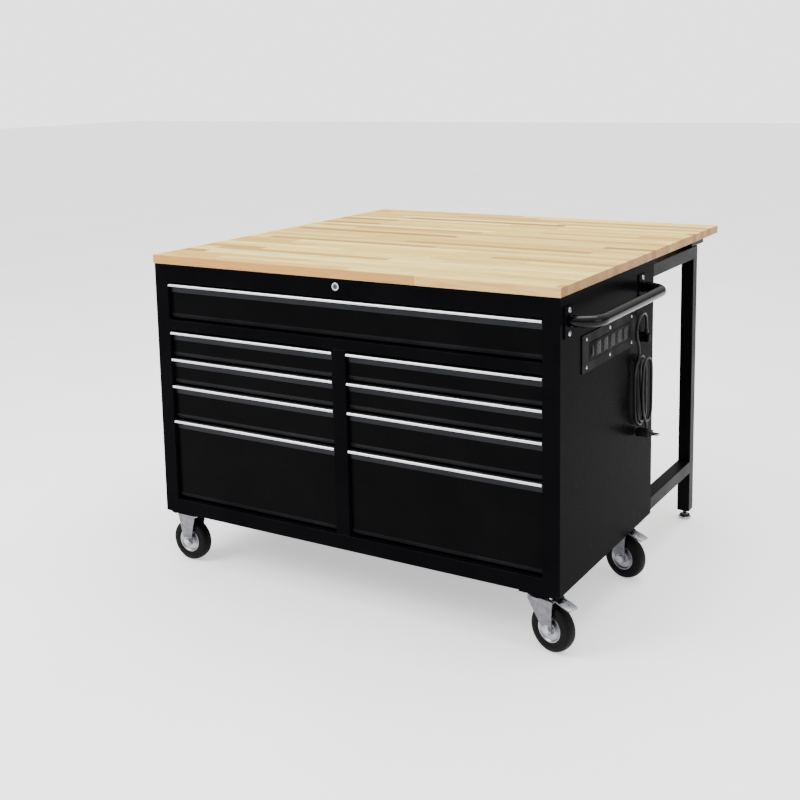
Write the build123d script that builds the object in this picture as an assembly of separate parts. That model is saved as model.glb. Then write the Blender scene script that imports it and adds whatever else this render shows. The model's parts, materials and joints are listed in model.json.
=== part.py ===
"""Mobile workbench with nine drawers, a solid wood top, and a pull-out rear frame with a fold-over leaf.

The model is drawn with X = 0 at the middle of the top, Y = 0 at the top's front edge and Z = 0 on the
floor. Every piece is shifted on export, so that the origin is at the bottom centre of the whole object.
"""
from build123d import *
import math
import os

# ---- driving dimensions (mm) ----
TOP_WIDTH = 1320
TOP_DEPTH = 630
LEAF_DEPTH = 669
TOP_THICKNESS = 25
LEAF_LIFT = 0.4
TOP_HEIGHT = 955
SEAM = 1.0
SHEET = 1.5

CASE_INSET = 3
CASE_PAST_TOP = 47
FLOOR_OVER_WHEELS = 30
STILE_PAST_TUBE = 8
FRAME_DEPTH = 20
FASCIA_HEIGHT = 54
BASE_HEIGHT = 43
MULLION = 44
MID_RAIL_HEIGHT = 29
SHELF_BELOW_RAIL_TOP = 12

FRONT_GAP = 2
FRONT_RECESS = 12
FRONT_BEVEL_DEPTH = 6
FRONT_THICKNESS = 18
FRONT_BEVEL = 14
FRONT_BASE_GAP = 6
ROW_GAP = 5
COLUMN_GAP = 8
WIDE_FRONT_HEIGHT = 104
COLUMN_FRONT_HEIGHTS = (77, 78, 104)
BEHIND_BOX = 64
BOX_LIFT = 6
BOX_DROP = 22
SLIDE_SPACE = 12.7
SLIDE_HEIGHT = 36
SLIDE_PAST_TRAVEL = 140
RUNNER_THICKNESS = 9
RUNNING_GAP = 0.3

PULL_HEIGHT = 26
PULL_REACH = 11
PULL_WALL = 2
PULL_LIP = 10

TUBE = 40
TUBE_WALL = 2
RAIL_TO_SKIN = 2.5
LEG_TO_LEAF_EDGE = 234
CLOSED_GAP = 24
UPPER_RAIL_DROP = 16
LOWER_RAIL_LIFT = 5
GUIDE_GAP = 0.5
GUIDE_WALL = 2.4
GUIDE_LENGTH = 32

BATTEN_BEFORE_LEG = 16
BATTEN_DEPTH = 120
BATTEN_SIDE_GAP = 8
EDGE_STRIP_THICKNESS = 5
EDGE_STRIP_WIDTH = 20
HINGE_LENGTH = 60
HINGE_DEPTH = 28
HINGE_HEIGHT = 13
HINGE_FROM_END = 100
HINGE_INNER_SHARE = 0.34

WHEEL_RADIUS = 63.5
TYRE_WIDTH = 38
RIM_RADIUS = 44
AXLE_RADIUS = 6
RUNNING_FIT = 0.08
HUB_WIDTH = 46
FORK_GAP = 1
FORK_PLATE = 3
CASTER_TRAIL = 38
CASTER_INSET = 70
CASTER_PLATE_LENGTH = 95
CASTER_PLATE_WIDTH = 75
CASTER_PLATE_THICKNESS = 4
FRONT_CASTER_Y = 41
REAR_CASTER_INSET = 117
STEER_AT_REST = -15
KING_PIN_RADIUS = 8
RACE_RADIUS = 33
BRAKE_PIVOT_RADIUS = 4

FOOT_RADIUS = 20
FOOT_HEIGHT = 14
FOOT_TRAVEL = 12
STEM_RADIUS = 6

LOCK_X = -2
LOCK_DROP = 47
LOCK_RADIUS = 11
PLUG_RADIUS = 7

HANDLE_TUBE_RADIUS = 15
HANDLE_REACH = 73
HANDLE_FRONT = 50
HANDLE_TO_CASE_BACK = 104
HANDLE_DROP = 90
HANDLE_BEND = 55
BRACKET_WIDTH = 52
BRACKET_HEIGHT = 80
BRACKET_THICKNESS = 4
BRACKET_BOLT_SPACING = 59

PLATE_FRONT = 135
PLATE_TO_CASE_BACK = 159
PLATE_HEIGHT = 100
PLATE_TOP_DROP = 147
PLATE_THICKNESS = 3
PLATE_SCREW_INSET_Y = 29
PLATE_SCREW_INSET_Z = 13
STRIP_INSET = 46.5
STRIP_HEIGHT = 50
STRIP_DEPTH = 32
WINDOW_GAP = 2

CORD_DIAMETER = 8
INLET_TO_CASE_BACK = 87
INLET_DROP = 239
INLET_RADIUS = 15
INLET_DEPTH = 22
SLEEVE_RADIUS = 7.5
SLEEVE_HEIGHT = 28
HANK_X = 18
HANK_THICKNESS = 38
HANK_BEFORE_INLET = 90
HANK_WIDTH = 92
HANK_HEIGHT = 224
HANK_DROP = 32
PLUG_BODY = (46, 28, 22)
PRONG_LENGTH = 20
PRONG_SPACING = 13

# ---- places worked out from the driving dimensions ----
HALF_TOP = TOP_WIDTH / 2
CASE_TOP = TOP_HEIGHT - TOP_THICKNESS
SKIN = HALF_TOP - CASE_INSET
STILE = TUBE + STILE_PAST_TUBE
CASE_BOTTOM = 2 * WHEEL_RADIUS + FLOOR_OVER_WHEELS
CASE_FRONT = CASE_INSET
CASE_BACK = TOP_DEPTH + CASE_PAST_TOP
BAY = SKIN - STILE
FASCIA_BOTTOM = CASE_TOP - FASCIA_HEIGHT
BASE_TOP = CASE_BOTTOM + BASE_HEIGHT
FRONT_FACE = CASE_FRONT + FRONT_RECESS
FRONT_BACK = FRONT_FACE + FRONT_THICKNESS
FRAME_BACK = CASE_FRONT + FRAME_DEPTH
WALL_FRONT = FRAME_BACK + 2
BOX_DEPTH = CASE_BACK - BEHIND_BOX - FRONT_BACK
SLIDE_LENGTH = BOX_DEPTH - 20
DRAWER_TRAVEL = SLIDE_LENGTH - SLIDE_PAST_TRAVEL
SLIDE_FRONT = FRONT_BACK + 2
PULL_FRONT = FRONT_FACE - PULL_WALL - PULL_REACH
WIDE_TOP = FASCIA_BOTTOM - FRONT_BASE_GAP
WIDE_BOTTOM = WIDE_TOP - WIDE_FRONT_HEIGHT
MID_RAIL_TOP = WIDE_BOTTOM - ROW_GAP
MID_RAIL_BOTTOM = MID_RAIL_TOP - MID_RAIL_HEIGHT
SHELF_TOP = MID_RAIL_TOP - SHELF_BELOW_RAIL_TOP
RAIL_OUT = SKIN - SHEET - RAIL_TO_SKIN
RAIL_IN = RAIL_OUT - TUBE
FRAME_TOP = CASE_TOP - UPPER_RAIL_DROP
LOWER_RAIL_BOTTOM = CASE_BOTTOM + LOWER_RAIL_LIFT
LEAF_FRONT = TOP_DEPTH + SEAM
LEAF_BACK = LEAF_FRONT + LEAF_DEPTH
LEAF_BOTTOM = CASE_TOP + LEAF_LIFT
LEG_FRONT = LEAF_BACK - LEG_TO_LEAF_EDGE
LEG_BACK = LEG_FRONT + TUBE
LEG_BOTTOM = FOOT_HEIGHT + FOOT_TRAVEL + 4
BATTEN_FRONT = LEG_FRONT - BATTEN_BEFORE_LEG
FRAME_TRAVEL = LEG_FRONT - CASE_BACK - CLOSED_GAP
RAIL_FRONT = FRAME_BACK + 12 + FRAME_TRAVEL
HINGE_REACH = HALF_TOP - HINGE_FROM_END
HINGE_PLACES = [share * HINGE_REACH for share in (-1, -HINGE_INNER_SHARE, HINGE_INNER_SHARE, 1)]
HINGE_AXIS_Y = TOP_DEPTH + SEAM / 2
HINGE_AXIS_Z = TOP_HEIGHT + 0.2
CASTER_X = HALF_TOP - CASTER_INSET
REAR_CASTER_Y = CASE_BACK - REAR_CASTER_INSET
AXLE_Z = WHEEL_RADIUS
PLATE_UNDERSIDE = CASE_BOTTOM - CASTER_PLATE_THICKNESS
RACE_BOTTOM = PLATE_UNDERSIDE - 10
HEAD_BOTTOM = RACE_BOTTOM - 12
FORK_INNER = HUB_WIDTH / 2 + FORK_GAP
HANDLE_X = SKIN + HANDLE_REACH
HANDLE_Z = TOP_HEIGHT - HANDLE_DROP
HANDLE_BACK = CASE_BACK - HANDLE_TO_CASE_BACK
PLATE_TOP = TOP_HEIGHT - PLATE_TOP_DROP
PLATE_BOTTOM = PLATE_TOP - PLATE_HEIGHT
PLATE_LENGTH = CASE_BACK - PLATE_TO_CASE_BACK - PLATE_FRONT
STRIP_LENGTH = PLATE_LENGTH - 2 * STRIP_INSET
INLET_X = SKIN + INLET_DEPTH / 2
INLET_Y = CASE_BACK - INLET_TO_CASE_BACK
INLET_Z = TOP_HEIGHT - INLET_DROP
SLEEVE_TOP = INLET_Z + SLEEVE_HEIGHT
HANK_FRONT = INLET_Y - HANK_BEFORE_INLET
HANK_TOP = INLET_Z - HANK_DROP
HANK_BOTTOM = HANK_TOP - HANK_HEIGHT
HANK_IN = SKIN + HANK_X - HANK_THICKNESS / 2 + 4
SHIFT = Pos((HALF_TOP - HANDLE_X - HANDLE_TUBE_RADIUS) / 2, -LEAF_BACK / 2, 0)

# the free cord's route, from the sleeve up, over a loop and down into the hank
CORD_ROUTE = [
    (INLET_X, INLET_Y, SLEEVE_TOP),
    (INLET_X, INLET_Y, SLEEVE_TOP + 21),
    (INLET_X + 2, INLET_Y - 13, SLEEVE_TOP + 41),
    (INLET_X + 4, INLET_Y - 35, SLEEVE_TOP + 51),
    (INLET_X + 4, INLET_Y - 60, SLEEVE_TOP + 48),
    (INLET_X + 3, INLET_Y - 80, SLEEVE_TOP + 32),
    (INLET_X + 2, INLET_Y - 88, SLEEVE_TOP + 7),
    (INLET_X + 3, INLET_Y - 84, SLEEVE_TOP - 18),
    (INLET_X + 5, INLET_Y - 74, SLEEVE_TOP - 38),
    (INLET_X + 5, INLET_Y - 74, HANK_TOP),
]


def block(x0, x1, y0, y1, z0, z1):
    """A box between two corners."""
    return Pos((x0 + x1) / 2, (y0 + y1) / 2, (z0 + z1) / 2) * Box(x1 - x0, y1 - y0, z1 - z0)


def rod_x(radius, x0, x1, y, z):
    """A round bar along X."""
    return Pos((x0 + x1) / 2, y, z) * Rot(0, 90, 0) * Cylinder(radius, x1 - x0)


def rod_y(radius, x, y0, y1, z):
    """A round bar along Y."""
    return Pos(x, (y0 + y1) / 2, z) * Rot(90, 0, 0) * Cylinder(radius, y1 - y0)


def rod_z(radius, x, y, z0, z1):
    """A round bar along Z."""
    return Pos(x, y, (z0 + z1) / 2) * Cylinder(radius, z1 - z0)


def side_prism(points, x0, x1):
    """An outline of (y, z) points, drawn out along X from x0 to x1."""
    face = make_face(Polyline([(x0, y, z) for y, z in points], close=True))
    return extrude(face, amount=x1 - x0, dir=(1, 0, 0))


def front_prism(points, y0, y1):
    """An outline of (x, z) points, drawn out along Y from y0 to y1."""
    face = make_face(Polyline([(x, y0, z) for x, z in points], close=True))
    return extrude(face, amount=y1 - y0, dir=(0, 1, 0))


def save(name, *solids):
    """Write one sub-part, shifted to the object's origin."""
    pieces = [solid.moved(SHIFT) for group in solids for solid in group.solids()]
    shape = pieces[0] if len(pieces) == 1 else Compound(children=pieces)
    export_step(shape, f"parts/{name}.step")


# ---- the case ----
def channel(x0, x1, z0, z1):
    """A front member: a folded channel, open at the back."""
    inner = block(x0 + SHEET, x1 - SHEET, CASE_FRONT + SHEET, FRAME_BACK, z0 + SHEET, z1 - SHEET)
    return block(x0, x1, CASE_FRONT, FRAME_BACK, z0, z1) - inner


def side_panel(side):
    """The outer skin with its front stile and top flange; side is 1 on the right and -1 on the left."""
    skin = block(SKIN - SHEET, SKIN, CASE_FRONT, CASE_BACK, CASE_BOTTOM, CASE_TOP)
    stile = block(BAY, SKIN, CASE_FRONT, CASE_FRONT + SHEET, CASE_BOTTOM, CASE_TOP)
    stile_return = block(BAY, BAY + SHEET, CASE_FRONT, FRAME_BACK, CASE_BOTTOM, CASE_TOP)
    flange = block(RAIL_IN + TUBE / 2, SKIN, CASE_FRONT, CASE_BACK, CASE_TOP - SHEET, CASE_TOP)
    panel = skin + stile + stile_return + flange
    if side < 0:
        return mirror(panel, about=Plane.YZ)
    middle_y = PLATE_FRONT + PLATE_LENGTH / 2
    middle_z = (PLATE_TOP + PLATE_BOTTOM) / 2
    half_length = STRIP_LENGTH / 2 + WINDOW_GAP
    half_height = STRIP_HEIGHT / 2 + WINDOW_GAP
    return panel - block(SKIN - 5, SKIN + 5, middle_y - half_length, middle_y + half_length,
                         middle_z - half_height, middle_z + half_height)


def front_frame():
    """Top fascia, rail under the wide drawer, centre mullion and base rail, welded into one frame."""
    fascia = channel(-BAY, BAY, FASCIA_BOTTOM, CASE_TOP)
    fascia -= rod_y(LOCK_RADIUS - 1.8, LOCK_X, CASE_FRONT - 5, FRAME_BACK, lock_z())
    mid_rail = channel(-BAY, BAY, MID_RAIL_BOTTOM, MID_RAIL_TOP)
    base = channel(-BAY, BAY, CASE_BOTTOM, BASE_TOP)
    mullion = channel(-MULLION / 2, MULLION / 2, BASE_TOP, MID_RAIL_BOTTOM)
    return [fascia, mid_rail, base, mullion]


def drawer_walls():
    """The two inner walls and the hollow centre divider, which carry the drawer slides."""
    floor = CASE_BOTTOM + SHEET
    right = block(BAY - SHEET, BAY, WALL_FRONT, CASE_BACK - SHEET, floor, CASE_TOP - SHEET)
    half = MULLION / 2 - 2
    outer = block(-half, half, WALL_FRONT, CASE_BACK - SHEET, floor, SHELF_TOP - SHEET)
    divider = outer - block(-half + SHEET, half - SHEET, WALL_FRONT + SHEET, CASE_BACK - 2 * SHEET,
                            floor, SHELF_TOP - SHEET)
    return [right, mirror(right, about=Plane.YZ), divider]


def rail_levels():
    """The bottom of the lower and of the upper rail."""
    return LOWER_RAIL_BOTTOM, FRAME_TOP - TUBE


def back_panel():
    """The back sheet, with a square hole for each sliding rail."""
    panel = block(-SKIN + SHEET, SKIN - SHEET, CASE_BACK - SHEET, CASE_BACK,
                  CASE_BOTTOM + SHEET, CASE_TOP - SHEET)
    for side in (-1, 1):
        for level in rail_levels():
            low, high = sorted((side * (RAIL_IN - GUIDE_GAP), side * (RAIL_OUT + GUIDE_GAP)))
            panel -= block(low, high, CASE_BACK - 5, CASE_BACK + 5,
                           level - GUIDE_GAP, level + TUBE + GUIDE_GAP)
    return panel


def rail_guides():
    """Square plastic collars that the rails slide through, two on each rail."""
    guides = []
    for side in (-1, 1):
        for level in rail_levels():
            for back in (CASE_BACK - SHEET, RAIL_FRONT + GUIDE_LENGTH + 10):
                wall = GUIDE_GAP + GUIDE_WALL
                low, high = sorted((side * (RAIL_IN - wall), side * (RAIL_OUT + GUIDE_GAP + 1.4)))
                collar = block(low, high, back - GUIDE_LENGTH, back, level - wall, level + TUBE + wall)
                low, high = sorted((side * (RAIL_IN - GUIDE_GAP), side * (RAIL_OUT + GUIDE_GAP)))
                guides.append(collar - block(low, high, back - GUIDE_LENGTH, back,
                                             level - GUIDE_GAP, level + TUBE + GUIDE_GAP))
    return guides


# ---- drawers ----
def drawer_bays():
    """Name, left, right, bottom and top of each drawer front."""
    left, right = -BAY + FRONT_GAP, BAY - FRONT_GAP
    bays = [("top_drawer", left, right, WIDE_BOTTOM, WIDE_TOP)]
    middle = MULLION / 2 + FRONT_GAP
    for column, x0, x1 in (("left", left, -middle), ("right", middle, right)):
        top = MID_RAIL_BOTTOM - COLUMN_GAP
        for row, height in enumerate(COLUMN_FRONT_HEIGHTS, 1):
            bays.append((f"{column}_drawer_{row}", x0, x1, top - height, top))
            top -= height + ROW_GAP
        bays.append((f"{column}_drawer_4", x0, x1, BASE_TOP + FRONT_BASE_GAP, top))
    return bays


def drawer_box_sides(x0, x1):
    """Outer sides of the box behind a front, a slide's space inside the walls that carry it."""
    wall_left = -BAY + SHEET if x0 < -BAY + 5 else MULLION / 2 - 2
    wall_right = BAY - SHEET if x1 > BAY - 5 else -MULLION / 2 + 2
    return wall_left + SLIDE_SPACE, wall_right - SLIDE_SPACE


def drawer_front(x0, x1, z0, z1):
    """A folded front with a bevelled lower edge, hollow at the back."""
    outline = [(FRONT_FACE, z1), (FRONT_BACK, z1), (FRONT_BACK, z0), (FRONT_FACE + FRONT_BEVEL_DEPTH, z0),
               (FRONT_FACE, z0 + FRONT_BEVEL)]
    hollow = block(x0 + SHEET, x1 - SHEET, FRONT_FACE + SHEET, FRONT_BACK,
                   z0 + FRONT_BEVEL + SHEET, z1 - SHEET)
    return side_prism(outline, x0, x1) - hollow


def drawer_box(x0, x1, z0, z1):
    """The front, the open tray welded behind it and the two moving runners."""
    left, right = drawer_box_sides(x0, x1)
    bottom, top = z0 + BOX_LIFT, z1 - BOX_DROP
    tray = block(left, right, FRONT_BACK, FRONT_BACK + BOX_DEPTH, bottom, top)
    tray -= block(left + SHEET, right - SHEET, FRONT_BACK + SHEET, FRONT_BACK + BOX_DEPTH - SHEET,
                  bottom + SHEET, top)
    middle = bottom + SLIDE_HEIGHT / 2 + 2
    reach = SLIDE_HEIGHT / 2 - SHEET - RUNNING_GAP
    runners = [block(x, x + RUNNER_THICKNESS, SLIDE_FRONT, SLIDE_FRONT + SLIDE_LENGTH,
                     middle - reach, middle + reach)
               for x in (left - RUNNER_THICKNESS, right)]
    return [drawer_front(x0, x1, z0, z1), tray] + runners


def drawer_pull(x0, x1, z1):
    """A full-width pull: a plate on the front, a shelf over the fingers and a rounded lip."""
    plate = block(x0, x1, FRONT_FACE - PULL_WALL, FRONT_FACE, z1 - PULL_HEIGHT, z1)
    shelf = block(x0, x1, PULL_FRONT, FRONT_FACE, z1 - PULL_WALL, z1)
    lip = block(x0, x1, PULL_FRONT, PULL_FRONT + PULL_WALL, z1 - PULL_LIP, z1)
    pull = plate + shelf + lip
    top_front = pull.edges().filter_by(Axis.X).group_by(Axis.Z)[-1].sort_by(Axis.Y)[0]
    return fillet(top_front, 1.8)


def fixed_slides():
    """The slide channels on the walls and divider, one each side of every drawer."""
    slides = []
    for _, x0, x1, z0, _ in drawer_bays():
        left, right = drawer_box_sides(x0, x1)
        middle = z0 + BOX_LIFT + SLIDE_HEIGHT / 2 + 2
        low, high = middle - SLIDE_HEIGHT / 2, middle + SLIDE_HEIGHT / 2
        back = SLIDE_FRONT + SLIDE_LENGTH
        for wall, sign in ((left - SLIDE_SPACE, 1), (right + SLIDE_SPACE, -1)):
            a, b = sorted((wall, wall + sign * (SLIDE_SPACE - 2.5)))
            c, d = sorted((wall + sign * SHEET, wall + sign * SLIDE_SPACE))
            slides.append(block(a, b, SLIDE_FRONT, back, low, high)
                          - block(c, d, SLIDE_FRONT, back, low + SHEET, high - SHEET))
    return slides


# ---- the lock ----
def lock_z():
    """Height of the lock's axis."""
    return TOP_HEIGHT - LOCK_DROP


def lock_housing():
    """A flanged sleeve in the fascia."""
    z = lock_z()
    ring = rod_y(LOCK_RADIUS, LOCK_X, CASE_FRONT - 3, CASE_FRONT, z)
    sleeve = rod_y(LOCK_RADIUS - 2, LOCK_X, CASE_FRONT, CASE_FRONT + 26, z)
    return ring + sleeve - rod_y(PLUG_RADIUS + RUNNING_FIT, LOCK_X, CASE_FRONT - 5, CASE_FRONT + 30, z)


def lock_plug():
    """The turning plug with its key slot, and the cam behind it."""
    z = lock_z()
    plug = rod_y(PLUG_RADIUS, LOCK_X, CASE_FRONT - 3.5, CASE_FRONT + 28, z)
    plug -= block(LOCK_X - 0.9, LOCK_X + 0.9, CASE_FRONT - 5, CASE_FRONT + 6, z - 4.5, z + 4.5)
    cam = block(LOCK_X - 6, LOCK_X + 6, CASE_FRONT + 26.5, CASE_FRONT + 29, z - 26, z + 7)
    return plug + cam


# ---- casters ----
def at_caster(x, y, steer):
    """The frame of one caster: origin on the floor under its plate, +X towards the trailing side."""
    return Pos(x, y, 0) * Rot(0, 0, steer)


def caster_plates():
    """Four mounting plates; the two right ones carry a raceway and a king pin."""
    plates = []
    for x, y in caster_places():
        plate = block(-CASTER_PLATE_LENGTH / 2, CASTER_PLATE_LENGTH / 2, -CASTER_PLATE_WIDTH / 2,
                      CASTER_PLATE_WIDTH / 2, PLATE_UNDERSIDE, CASE_BOTTOM)
        if x > 0:
            plate += rod_z(RACE_RADIUS, 0, 0, RACE_BOTTOM, PLATE_UNDERSIDE)
            plate += rod_z(KING_PIN_RADIUS, 0, 0, HEAD_BOTTOM - 4, RACE_BOTTOM)
            plate += rod_z(KING_PIN_RADIUS + 4, 0, 0, HEAD_BOTTOM - 4, HEAD_BOTTOM - RUNNING_GAP)
        plates.append(Pos(x, y, 0) * plate)
    return plates


def caster_places():
    """Plate centres: front left, rear left, front right, rear right."""
    return [(x, y) for x in (-CASTER_X, CASTER_X) for y in (FRONT_CASTER_Y, REAR_CASTER_Y)]


def fork_sides(points, trail):
    """Two fork plates with the axle bolt through them."""
    pieces = []
    for side in (-1, 1):
        low, high = sorted((side * FORK_INNER, side * (FORK_INNER + FORK_PLATE)))
        pieces.append(front_prism(points, low, high) + rod_y(15, trail, low, high, AXLE_Z))
    reach = FORK_INNER + FORK_PLATE
    axle = rod_y(AXLE_RADIUS, trail, -reach, reach, AXLE_Z)
    heads = rod_y(AXLE_RADIUS + 4, trail, -reach - 5, -reach, AXLE_Z) + rod_y(AXLE_RADIUS + 4, trail, reach,
                                                                             reach + 5, AXLE_Z)
    return pieces[0] + pieces[1] + axle + heads


def rigid_fork():
    """A fork welded under its plate."""
    top = PLATE_UNDERSIDE
    return fork_sides([(-34, top), (34, top), (13, AXLE_Z), (-13, AXLE_Z)], 0)


def swivel_fork():
    """A fork under a round head, trailing behind the king pin, with the brake's pivot pin."""
    top = RACE_BOTTOM - RUNNING_GAP
    points = [(-26, top), (brake_x() + 9, top), (brake_x() + 9, HEAD_BOTTOM), (CASTER_TRAIL + 14, AXLE_Z),
              (CASTER_TRAIL - 14, AXLE_Z), (-26, HEAD_BOTTOM)]
    head = rod_z(RACE_RADIUS, 0, 0, HEAD_BOTTOM, top) - rod_z(KING_PIN_RADIUS + RUNNING_FIT, 0, 0, 0, top)
    pin = rod_y(BRAKE_PIVOT_RADIUS, brake_x(), -FORK_INNER, FORK_INNER, brake_z())
    return head + fork_sides(points, CASTER_TRAIL) + pin


def brake_x():
    """Distance of the brake's pivot behind the king pin."""
    return RACE_RADIUS + 12


def brake_z():
    """Height of the brake's pivot."""
    return RACE_BOTTOM - 5.5


def brake_pedal():
    """A bent tread plate on a barrel around the pivot pin."""
    x, z = brake_x(), brake_z()
    outline = [(x, z + 3), (x + 14, z + 4), (x + 44, z - 5), (x + 58, z - 9), (x + 58, z - 6),
               (x + 45, z - 2), (x + 14, z + 7.5), (x - 3, z + 5.5)]
    tread = front_prism(outline, -18, 18)
    barrel = rod_y(6.5, x, -18, 18, z)
    return tread + barrel - rod_y(BRAKE_PIVOT_RADIUS + RUNNING_FIT, x, -30, 30, z)


def tyre():
    """The tread ring, about the axle along local Z."""
    ring = Cylinder(WHEEL_RADIUS, TYRE_WIDTH)
    ring = fillet(ring.edges().filter_by(GeomType.CIRCLE), 8)
    return ring - Cylinder(RIM_RADIUS, TYRE_WIDTH)


def hub():
    """The pressed wheel disc with its rim and bearing boss."""
    disc = Cylinder(RIM_RADIUS, TYRE_WIDTH - 6)
    for side in (-1, 1):
        recess = Cylinder(RIM_RADIUS - 6, 10) - Cylinder(16, 10)
        disc -= Pos(0, 0, side * (TYRE_WIDTH / 2 - 3 - 5)) * recess
    boss = Cylinder(15, HUB_WIDTH)
    return disc + boss - Cylinder(AXLE_RADIUS + RUNNING_FIT, HUB_WIDTH)


def at_wheel(x, y):
    """The frame of a wheel, with local Z along its axle."""
    if x < 0:
        return Pos(x, y, AXLE_Z) * Rot(90, 0, 0)
    return at_caster(x, y, STEER_AT_REST) * Pos(CASTER_TRAIL, 0, AXLE_Z) * Rot(90, 0, 0)


# ---- the pull-out frame and its feet ----
def tube(x0, x1, y0, y1, z0, z1, axis):
    """A square tube; axis is the index of its long direction, along which it is open."""
    low, high = [x0, y0, z0], [x1, y1, z1]
    for index in range(3):
        if index != axis:
            low[index] += TUBE_WALL
            high[index] -= TUBE_WALL
    return block(x0, x1, y0, y1, z0, z1) - block(low[0], high[0], low[1], high[1], low[2], high[2])


def extension_frame():
    """Two legs, four rails that slide into the case, and the top cross tube."""
    frame = tube(-RAIL_IN, RAIL_IN, LEG_FRONT, LEG_BACK, FRAME_TOP - TUBE, FRAME_TOP, 0)
    for side in (-1, 1):
        low, high = sorted((side * RAIL_IN, side * RAIL_OUT))
        leg = block(low, high, LEG_FRONT, LEG_BACK, LEG_BOTTOM, FRAME_TOP)
        leg -= block(low + TUBE_WALL, high - TUBE_WALL, LEG_FRONT + TUBE_WALL, LEG_BACK - TUBE_WALL,
                     LEG_BOTTOM + 2 * TUBE_WALL, FRAME_TOP - TUBE_WALL)
        leg -= rod_z(STEM_RADIUS + RUNNING_FIT, (low + high) / 2, LEG_FRONT + TUBE / 2, LEG_BOTTOM - 5,
                     LEG_BOTTOM + 10)
        frame += leg
        for level in rail_levels():
            frame += tube(low, high, RAIL_FRONT, LEG_FRONT, level, level + TUBE, 1)
    return frame


def levelling_foot(side):
    """A threaded foot under one leg."""
    x, y = side * (RAIL_IN + TUBE / 2), LEG_FRONT + TUBE / 2
    pad = Pos(x, y, FOOT_HEIGHT / 2) * Cone(FOOT_RADIUS, FOOT_RADIUS - 4, FOOT_HEIGHT)
    return pad + rod_z(STEM_RADIUS, x, y, FOOT_HEIGHT - 1, LEG_BOTTOM + 30)


# ---- the wood tops ----
def hinge_blocks(y0, y1):
    """The halves of the hidden hinges let into one edge of the wood."""
    z = TOP_HEIGHT - TOP_THICKNESS / 2
    return [block(x - HINGE_LENGTH / 2, x + HINGE_LENGTH / 2, y0, y1,
                  z - HINGE_HEIGHT / 2, z + HINGE_HEIGHT / 2) for x in HINGE_PLACES]


def main_top():
    """The fixed wood top, with pockets for the hinges in its back edge."""
    top = block(-HALF_TOP, HALF_TOP, 0, TOP_DEPTH, CASE_TOP, TOP_HEIGHT)
    for pocket in hinge_blocks(TOP_DEPTH - HINGE_DEPTH, TOP_DEPTH):
        top -= pocket
    return top


def leaf():
    """The wood leaf that folds over onto the main top."""
    board = block(-HALF_TOP, HALF_TOP, LEAF_FRONT, LEAF_BACK, LEAF_BOTTOM, TOP_HEIGHT)
    for pocket in hinge_blocks(LEAF_FRONT, LEAF_FRONT + HINGE_DEPTH):
        board -= pocket
    return board


def leaf_battens():
    """The steel edge strips and the rear batten under the leaf, which rests on the legs."""
    reach = HALF_TOP - BATTEN_SIDE_GAP
    battens = block(-reach, reach, BATTEN_FRONT, BATTEN_FRONT + BATTEN_DEPTH,
                    FRAME_TOP + RUNNING_GAP, LEAF_BOTTOM)
    for side in (-1, 1):
        low, high = sorted((side * reach, side * (reach - EDGE_STRIP_WIDTH)))
        battens += block(low, high, CASE_BACK + 8, BATTEN_FRONT,
                         LEAF_BOTTOM - EDGE_STRIP_THICKNESS, LEAF_BOTTOM)
    return battens


# ---- side handle, power strip and cord ----
def handle_tube():
    """A round tube bent into a U, from one bracket to the other."""
    start = SKIN + BRACKET_THICKNESS
    path = FilletPolyline([(start, HANDLE_FRONT, HANDLE_Z), (HANDLE_X, HANDLE_FRONT, HANDLE_Z),
                           (HANDLE_X, HANDLE_BACK, HANDLE_Z), (start, HANDLE_BACK, HANDLE_Z)],
                          radius=HANDLE_BEND)
    section = Plane(origin=path @ 0, z_dir=path % 0) * Circle(HANDLE_TUBE_RADIUS)
    return sweep(section, path=path)


def handle_brackets():
    """The two plates that hold the tube's ends."""
    return [block(SKIN, SKIN + BRACKET_THICKNESS, y - BRACKET_WIDTH / 2, y + BRACKET_WIDTH / 2,
                  HANDLE_Z + 37 - BRACKET_HEIGHT, HANDLE_Z + 37) for y in (HANDLE_FRONT, HANDLE_BACK)]


def plate_screw_places():
    """The six screws of the power strip's plate: (y, z) pairs."""
    first, last = PLATE_FRONT + PLATE_SCREW_INSET_Y, PLATE_FRONT + PLATE_LENGTH - PLATE_SCREW_INSET_Y
    return [(y, z) for y in (first, (first + last) / 2, last)
            for z in (PLATE_BOTTOM + PLATE_SCREW_INSET_Z, PLATE_TOP - PLATE_SCREW_INSET_Z)]


def fasteners():
    """Bracket bolts, plate screws and caster bolts, as separate solids."""
    heads = []
    for y in (HANDLE_FRONT, HANDLE_BACK):
        for z in (HANDLE_Z + 27, HANDLE_Z + 27 - BRACKET_BOLT_SPACING):
            head = SKIN + BRACKET_THICKNESS
            heads.append(rod_x(7, head, head + 4, y, z))
    for y, z in plate_screw_places():
        heads.append(rod_x(4.5, SKIN + PLATE_THICKNESS, SKIN + PLATE_THICKNESS + 2, y, z))
    for x, y in caster_places():
        for dx in (8 - CASTER_PLATE_LENGTH / 2, CASTER_PLATE_LENGTH / 2 - 8):
            for dy in (8 - CASTER_PLATE_WIDTH / 2, CASTER_PLATE_WIDTH / 2 - 8):
                heads.append(rod_z(5.5, x + dx, y + dy, PLATE_UNDERSIDE - 5, PLATE_UNDERSIDE))
    return heads


def power_strip_plate():
    """The plate over the power strip, with its window."""
    plate = block(SKIN, SKIN + PLATE_THICKNESS, PLATE_FRONT, PLATE_FRONT + PLATE_LENGTH,
                  PLATE_BOTTOM, PLATE_TOP)
    return plate - power_strip_body()


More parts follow.
